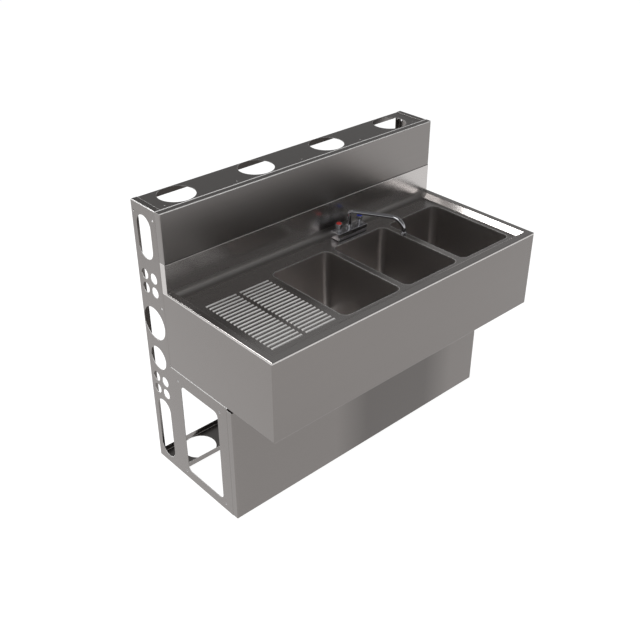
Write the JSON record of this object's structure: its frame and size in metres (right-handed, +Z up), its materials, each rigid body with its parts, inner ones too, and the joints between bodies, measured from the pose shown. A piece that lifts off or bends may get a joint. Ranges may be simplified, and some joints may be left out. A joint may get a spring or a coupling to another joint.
{
  "type": "underbar sink",
  "caption": "Free-standing under-bar sink: a hollow sheet-metal back wall carries a ribbed drainboard, deep wells and a mixer tap on a narrow base.",
  "frame": {"origin": "on the floor, at the middle of the footprint", "axes": "+X from the drainboard to the last well, +Y from the apron to the back wall, +Z up"},
  "size_m": [1.219, 0.678, 1.032],
  "materials": {
    "end_steel": "satin stainless sheet, brushed",
    "wall_steel": "satin stainless sheet, brushed along its length",
    "front_steel": "satin stainless sheet, brushed along its length",
    "deck_steel": "satin stainless sheet, brushed, with bright bends",
    "bowl_steel": "satin stainless sheet, brushed",
    "chrome": "polished chrome plate",
    "brass": "plain turned brass",
    "rubber": "black rubber",
    "red_plastic": "glossy red",
    "blue_plastic": "glossy blue"
  },
  "bodies": {
    "frame": {"left_end_panel": "end_steel", "right_end_panel": "end_steel", "top_channel": "wall_steel", "bottom_channel": "wall_steel", "upper_splash_panel": "wall_steel", "sink_top": "deck_steel", "drainboard_stiffener": "front_steel", "apron": "front_steel", "base_front_panel": "front_steel", "left_bowl": "bowl_steel", "middle_bowl": "bowl_steel", "right_bowl": "bowl_steel", "left_waste": "chrome", "middle_waste": "chrome", "right_waste": "chrome", "left_waste_gasket": "rubber", "middle_waste_gasket": "rubber", "right_waste_gasket": "rubber", "left_waste_nut": "brass", "middle_waste_nut": "brass", "right_waste_nut": "brass", "left_tailpiece": "chrome", "middle_tailpiece": "chrome", "right_tailpiece": "chrome", "left_tail_nut": "chrome", "middle_tail_nut": "chrome", "right_tail_nut": "chrome", "left_cover_inserts": "chrome", "right_cover_inserts": "chrome", "front_panel_screws": "chrome", "tap_gasket": "rubber", "tap_body": "chrome", "hot_shank": "brass", "cold_shank": "brass", "hot_shank_washer": "rubber", "cold_shank_washer": "rubber", "hot_shank_nut": "brass", "cold_shank_nut": "brass", "hot_bonnet": "chrome", "cold_bonnet": "chrome", "spout_nut": "chrome"},
    "spout": {"spout_tube_piece": "chrome", "spout_seal": "rubber", "aerator": "chrome"},
    "hot_valve": {"hot_stem": "brass", "hot_handle": "chrome", "hot_index": "red_plastic"},
    "cold_valve": {"cold_stem": "brass", "cold_handle": "chrome", "cold_index": "blue_plastic"}
  },
  "joints": [
    {"name": "spout_swivel", "type": "hinge", "parent": "frame", "child": "spout", "pos_m": [0.1365, 0.124, 0.78], "axis": [0, 0, 1], "range_deg": [-120, 60]},
    {"name": "hot_turn", "type": "hinge", "parent": "frame", "child": "hot_valve", "pos_m": [0.0857, 0.124, 0.78], "axis": [0, 0, 1], "range_deg": [0, 90]},
    {"name": "cold_turn", "type": "hinge", "parent": "frame", "child": "cold_valve", "pos_m": [0.1873, 0.124, 0.78], "axis": [0, 0, 1], "range_deg": [-90, 0]}
  ]
}
